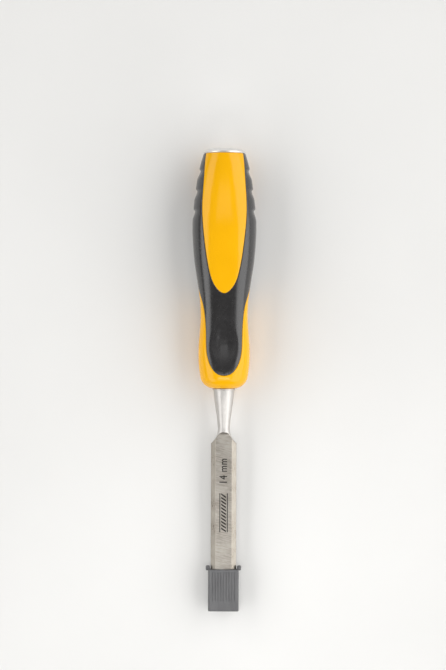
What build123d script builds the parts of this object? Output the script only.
"""Bench chisel with a two-colour struck handle, lying on its back. Millimetres.

Every piece is drawn along the tool's own axis: y = 0 is the blade end of the handle, the handle runs
towards +Y, the cutting edge towards -Y, and the bevelled front face looks towards +Z. At the end the
whole tool is tipped by REST_TILT, as it lies on a bench, and moved so that the origin is under the
middle of its box.
"""
from build123d import *
import os
from math import cos, pi, radians, sin, sqrt, tan

# Blade: a 14 mm bevel-edge blade.
BLADE_WIDTH = 14.0
BLADE_THICK = 3.6
FLAT_WIDTH = 8.9            # the flat front face between the two side bevels
SIDE_LAND = 1.6             # height of the square side edge under each bevel
SHOULDER_Y = -30.2          # where the blade reaches its full width
EDGE_Y = -121.0             # cutting edge
EDGE_ANGLE = 25.0           # ground angle of the cutting edge, degrees
OVERRUN = 2.0               # how far each cut runs past the metal it takes away

# Neck, between the handle and the blade, and the tang inside the handle.
COLLAR_R = 6.25
COLLAR_H = 1.0
NECK_TOP_R = 5.75
NECK_WAIST_R = 3.25
NECK_WAIST_Y = -21.8
NECK_EASE = 0.04            # how far the taper bows from a straight cone
SHOULDER_SQUARING = 1.6     # how much squarer the section gets from the waist to the shoulder
GRIND_END_Y = -24.0         # top of the rounded arch where the flat runs out on the neck
GRIND_START_Y = -26.4       # where the flat begins to curve up into that arch
BEVEL_ABOVE_GRIND = 1.0     # the side bevels run this far up past GRIND_START_Y
TANG_ROOT_R = 4.6
TANG_TIP_R = 3.6
TANG_END_Y = 126.0
TANG_EAR = (11.0, 9.0, 2.4)  # pressed ears that stop the tang turning: width, length, thickness
TANG_EAR_Y = 30.0

# Handle: half width, half depth and squareness of its section at each station along y.
HANDLE_STATIONS = [
    (0.0, 11.8, 11.0, 2.3),
    (9.0, 13.5, 12.4, 2.5),
    (19.0, 14.2, 12.95, 2.8),
    (29.0, 13.65, 12.5, 3.0),
    (39.0, 13.0, 11.95, 3.1),
    (49.0, 13.45, 12.2, 3.1),
    (59.0, 14.8, 13.1, 2.95),
    (70.0, 16.45, 14.4, 2.8),
    (80.0, 17.3, 15.25, 2.7),
    (89.0, 17.6, 15.6, 2.65),
    (100.0, 16.9, 15.25, 2.5),
    (110.0, 15.7, 14.4, 2.35),
    (120.0, 14.0, 13.1, 2.2),
    (129.0, 11.5, 11.4, 2.0),
]
SECTION_POINTS = 24
HANDLE_LENGTH = HANDLE_STATIONS[-1][0]
HANDLE_END_ROUND = 6.0
GRIP_THICK = 2.4            # thickness of the soft grip moulded over the core

# Outline of the soft grip seen from the front or the back: its tongue, then out past the sides.
TONGUE_TIP_Y = 7.2
TONGUE_EDGE = [(6.7, 11.2), (9.3, 18.0), (10.0, 29.0), (10.65, 39.8), (12.45, 48.6), (15.2, 55.0)]
PAST_SIDES = 25.0
# Oval window in the soft grip, through which the core shows; it runs up under the cap.
WINDOW_TIP_Y = 52.2
WINDOW_EDGE = [(4.4, 55.2), (8.15, 64.0), (11.05, 82.0), (12.2, 101.0), (11.0, 121.0), (10.2, 129.0)]

# Thumb scoop in the tongue, and three shallow finger notches down each side.
SCOOP_Y = 24.0
SCOOP_HALF = (7.4, 14.5, 5.0)
SCOOP_DEPTH = 1.3
NOTCH_YS = (96.5, 107.5, 118.5)
NOTCH_R = 4.5
NOTCH_DEPTH = 0.8

# Strike cap: domed steel, with a flat land in the middle and a boss moulded into the handle.
CAP_R = 11.4
CAP_RIM = 0.5
CAP_HEIGHT = 2.9
CAP_LAND_R = 4.0
CAP_BOSS_R = 6.6
CAP_BOSS_H = 9.0
CAP_GROOVE = 1.0            # depth of the groove that locks the boss into the plastic
CAP_GROOVE_SPAN = (3.0, 5.0)  # where that groove starts and ends above the boss's foot
CAP_BULGE = (0.62, 0.74)    # a point on the dome: share of the way out to the rim, share of the height

# Blade guard: a sleeve closed at the far end.
GUARD_MOUTH_Y = -99.3
GUARD_END_Y = -122.3
GUARD_HALF_WIDTH = 8.4
GUARD_HALF_DEPTH = 3.5
GUARD_GAP = 0.3             # clearance to the blade, all round
GUARD_ROUND = 1.0           # rounding of the sleeve's long edges and of the lugs
LUG_TOP_Y = -97.3           # the two pull lugs stand a little above the mouth
LUG_HALF_WIDTH = 9.75
LUG_HEIGHT = 2.7
LUG_HALF_DEPTH = 1.4
RIB_PITCH = 1.5
RIB_COUNT = 9
RIB_GROOVE = (0.5, 16.0, 0.3)  # width, length, depth
RIB_TOP_Y = -100.6

# The tool rests on the handle's belly and on the swell at its blade end; the blade stands clear.
REST_TILT = 2.13

HALF_WIDTH = BLADE_WIDTH / 2
HALF_THICK = BLADE_THICK / 2
FAR = 200.0                 # longer than anything that a cutting tool has to pass through


def oval(y, half_width, half_depth, squareness):
    """A closed oval across the tool, from an ellipse (squareness 2) towards a rounded rectangle."""
    points = []
    for k in range(SECTION_POINTS):
        c, s = cos(2 * pi * k / SECTION_POINTS), sin(2 * pi * k / SECTION_POINTS)
        reach = (abs(c) ** squareness + abs(s) ** squareness) ** (-1 / squareness)
        points.append((half_width * reach * c, y, half_depth * reach * s))
    return make_face(Spline(points, periodic=True))


def turned(points, *curves):
    """A solid of revolution about the tool's axis, from a half outline of (radius, y) points."""
    return revolve(make_face(Curve() + [Polyline(points), *curves]), Axis.Y)


def handle_body(inset=0.0):
    sections = [oval(y, a - inset, b - inset, n) for y, a, b, n in HANDLE_STATIONS]
    body = loft(sections)
    end = body.faces().sort_by(Axis.Y)[0]
    return fillet(end.edges(), HANDLE_END_ROUND - inset / 2)


def mirrored_outline(tip_y, edge, top):
    """A flat outline, symmetric about the tool's axis, pushed right through the handle's depth."""
    right = [(0, tip_y)] + edge
    left = [(-x, y) for x, y in reversed(edge)]
    ends = Polyline([edge[-1]] + top + [(-x, y) for x, y in reversed(top)] + [left[0]])
    return extrude(make_face(Spline(left + right) + ends), amount=FAR, both=True)


def grip_region():
    sides = [(PAST_SIDES, 60.0), (PAST_SIDES, HANDLE_LENGTH)]
    region = mirrored_outline(TONGUE_TIP_Y, TONGUE_EDGE, sides)
    x_top, y_top = WINDOW_EDGE[-1]
    window = mirrored_outline(WINDOW_TIP_Y, WINDOW_EDGE, [(x_top, y_top + OVERRUN)])
    return region - window


def half_size_at(y):
    """The handle's half width and half depth at y, between its stations."""
    for (y0, a0, b0, _), (y1, a1, b1, _) in zip(HANDLE_STATIONS, HANDLE_STATIONS[1:]):
        if y0 <= y <= y1:
            part = (y - y0) / (y1 - y0)
            return a0 + (a1 - a0) * part, b0 + (b1 - b0) * part
    raise ValueError(f"y = {y} is off the handle")


def scoop(side):
    half_depth = half_size_at(SCOOP_Y)[1]
    hollow = scale(Sphere(1.0), SCOOP_HALF)
    return Pos(0, SCOOP_Y, side * (half_depth + SCOOP_HALF[2] - SCOOP_DEPTH)) * hollow


def notch(y, side):
    half_width = half_size_at(y)[0]
    return Pos(side * (half_width + NOTCH_R - NOTCH_DEPTH), y, 0) * Cylinder(NOTCH_R, FAR)


def soft_grip():
    skin = handle_body() - handle_body(GRIP_THICK)
    grip = skin & grip_region()
    for side in (-1, 1):
        grip -= scoop(side)
        for y in NOTCH_YS:
            grip -= notch(y, side)
    return grip


def handle_core(blade, cap):
    inner = handle_body(GRIP_THICK)
    outer = handle_body() - grip_region()
    return outer + inner - blade - cap


def neck_half_width(y):
    """The neck tapers evenly to its waist, then sweeps out in one arc to the blade's shoulders."""
    if y >= NECK_WAIST_Y:
        part = (y - NECK_WAIST_Y) / (-COLLAR_H - NECK_WAIST_Y)
        return NECK_WAIST_R + (NECK_TOP_R - NECK_WAIST_R) * (part - NECK_EASE * sin(2 * pi * part))
    run = NECK_WAIST_Y - SHOULDER_Y
    rise = HALF_WIDTH - NECK_WAIST_R
    radius = (run ** 2 + rise ** 2) / (2 * rise)
    return NECK_WAIST_R + radius - sqrt(radius ** 2 - (NECK_WAIST_Y - y) ** 2)


def neck():
    """Round down to the waist; below it the section broadens and squares off towards the blade."""
    above, below = 8, 4
    taper = [-COLLAR_H + (NECK_WAIST_Y + COLLAR_H) * k / above for k in range(above)]
    sweep = [NECK_WAIST_Y + (SHOULDER_Y - NECK_WAIST_Y) * k / below for k in range(below + 1)]
    sections = []
    for y in taper:
        sections.append(oval(y, neck_half_width(y), neck_half_width(y), 2.0))
    for k, y in enumerate(sweep):
        sections.append(oval(y, neck_half_width(y), NECK_WAIST_R, 2.0 + SHOULDER_SQUARING * k / below))
    return loft(sections)


def side_face(outline):
    """A solid as wide as needed, from an outline of (y, z) points and curves."""
    return extrude(Plane.YZ * make_face(outline), amount=FAR, both=True)


def ground_faces():
    """The space that the ground front and back faces leave, with their run-out up the neck."""
    just_clear = 0.02
    rise = NECK_WAIST_R - HALF_THICK + just_clear
    run = GRIND_END_Y - GRIND_START_Y
    radius = (run ** 2 + rise ** 2) / (2 * rise)
    part_way = run / 2
    start = (GRIND_START_Y, HALF_THICK)
    middle = (GRIND_START_Y + part_way, HALF_THICK + radius - sqrt(radius ** 2 - part_way ** 2))
    end = (GRIND_END_Y, HALF_THICK + rise)
    run_out = ThreePointArc(start, middle, end)
    far = FAR / 2
    rest = Polyline([end, (GRIND_END_Y, far), (far, far), (far, 0), (-FAR, 0), (-FAR, HALF_THICK), start])
    upper = side_face(run_out + rest)
    return upper + mirror(upper, Plane.XY)


def side_bevel(side):
    """What is ground away beside the front flat, as far up as the shoulder."""
    flat = FLAT_WIDTH / 2
    slope = (BLADE_THICK - SIDE_LAND) / (HALF_WIDTH - flat)
    out, above = HALF_WIDTH + OVERRUN, NECK_TOP_R
    section = [(flat, HALF_THICK), (out, HALF_THICK - slope * (out - flat)), (out, above), (flat, above)]
    y0, y1 = EDGE_Y - OVERRUN, GRIND_START_Y + BEVEL_ABOVE_GRIND
    face = make_face(Polyline([(side * x, y0, z) for x, z in section], close=True))
    return extrude(face, amount=y1 - y0, dir=(0, 1, 0))


def blade():
    tang = turned(
        [
            (0, -COLLAR_H),
            (0, TANG_END_Y),
            (TANG_TIP_R, TANG_END_Y),
            (TANG_ROOT_R, 0),
            (COLLAR_R, 0),
            (COLLAR_R, -COLLAR_H),
            (0, -COLLAR_H),
        ]
    )
    width, length, thick = TANG_EAR
    tang += Pos(0, TANG_EAR_Y, 0) * Box(width, length, thick)
    bar_length = SHOULDER_Y - EDGE_Y
    bar = Pos(0, EDGE_Y + bar_length / 2, 0) * Box(BLADE_WIDTH, bar_length, BLADE_THICK)
    bevel_length = BLADE_THICK / tan(radians(EDGE_ANGLE))
    edge_wedge = [
        (EDGE_Y, -HALF_THICK),
        (EDGE_Y + bevel_length, HALF_THICK),
        (EDGE_Y + bevel_length, HALF_THICK + OVERRUN),
        (EDGE_Y - OVERRUN, HALF_THICK + OVERRUN),
        (EDGE_Y - OVERRUN, -HALF_THICK),
        (EDGE_Y, -HALF_THICK),
    ]
    bar -= side_face(Polyline(edge_wedge))
    forging = (neck() & ground_faces()) + bar
    for side in (-1, 1):
        forging -= side_bevel(side)
    return tang + forging


def strike_cap():
    y0 = HANDLE_LENGTH
    rim = (CAP_R, y0 + CAP_RIM)
    land = (CAP_LAND_R, y0 + CAP_HEIGHT)
    outward, upward = CAP_BULGE
    bulge = (CAP_LAND_R + outward * (CAP_R - CAP_LAND_R), y0 + upward * CAP_HEIGHT)
    dome = ThreePointArc(rim, bulge, land)
    boss_y = y0 - CAP_BOSS_H
    groove_low, groove_high = (boss_y + offset for offset in CAP_GROOVE_SPAN)
    points = [
        land,
        (0, y0 + CAP_HEIGHT),
        (0, TANG_END_Y),
        (TANG_TIP_R, TANG_END_Y),
        (TANG_TIP_R, boss_y),
        (CAP_BOSS_R, boss_y),
        (CAP_BOSS_R, groove_low),
        (CAP_BOSS_R - CAP_GROOVE, groove_low),
        (CAP_BOSS_R - CAP_GROOVE, groove_high),
        (CAP_BOSS_R, groove_high),
        (CAP_BOSS_R, y0),
        (CAP_R, y0),
        rim,
    ]
    return turned(points, dome)


def blade_guard():
    length = GUARD_MOUTH_Y - GUARD_END_Y
    middle = (GUARD_MOUTH_Y + GUARD_END_Y) / 2
    body = Pos(0, middle, 0) * Box(2 * GUARD_HALF_WIDTH, length, 2 * GUARD_HALF_DEPTH)
    body = fillet(body.edges().filter_by(Axis.Y), GUARD_ROUND)
    lug_y = LUG_TOP_Y - LUG_HEIGHT / 2
    lugs = Pos(0, lug_y, 0) * Box(2 * LUG_HALF_WIDTH, LUG_HEIGHT, 2 * LUG_HALF_DEPTH)
    lugs = fillet(lugs.edges().filter_by(Axis.Z), GUARD_ROUND)
    guard = body + lugs
    pocket_width = BLADE_WIDTH + 2 * GUARD_GAP
    pocket_thick = BLADE_THICK + 2 * GUARD_GAP
    pocket_end = EDGE_Y - GUARD_GAP
    pocket_length = LUG_TOP_Y + OVERRUN - pocket_end
    guard -= Pos(0, pocket_end + pocket_length / 2, 0) * Box(pocket_width, pocket_length, pocket_thick)
    # The front and back walls stop at the mouth, so that only the lugs stand above it.
    guard -= Pos(0, GUARD_MOUTH_Y + LUG_HEIGHT, 0) * Box(pocket_width, 2 * LUG_HEIGHT, FAR)
    groove_width, groove_length, groove_depth = RIB_GROOVE
    for side in (-1, 1):
        for k in range(RIB_COUNT):
            x = (k - (RIB_COUNT - 1) / 2) * RIB_PITCH
            groove = Box(groove_width, groove_length, 2 * groove_depth)
            guard -= Pos(x, RIB_TOP_Y - groove_length / 2, side * GUARD_HALF_DEPTH) * groove
    return guard


def under_the_middle(solids):
    """The point of the bench under the middle of the whole tool's box."""
    boxes = [solid.bounding_box() for solid in solids]
    low_y = min(box.min.Y for box in boxes)
    high_y = max(box.max.Y for box in boxes)
    return Vector(0, (low_y + high_y) / 2, min(box.min.Z for box in boxes))


def main():
    steel = blade()
    cap = strike_cap() - steel
    pieces = {
        "blade": steel,
        "handle_core": handle_core(steel, cap),
        "soft_grip": soft_grip(),
        "strike_cap": cap,
        "blade_guard": blade_guard(),
    }
    tip = Rot(REST_TILT, 0, 0)
    lying = {name: tip * solid for name, solid in pieces.items()}
    place = Pos(-under_the_middle(lying.values()))
    os.makedirs("parts", exist_ok=True)
    for name, solid in lying.items():
        export_step(place * solid, f"parts/{name}.step")
    print("strike face at", (place * tip * Pos(0, HANDLE_LENGTH + CAP_HEIGHT, 0)).position)
    print("tool axis", (0, cos(radians(REST_TILT)), sin(radians(REST_TILT))))


main()
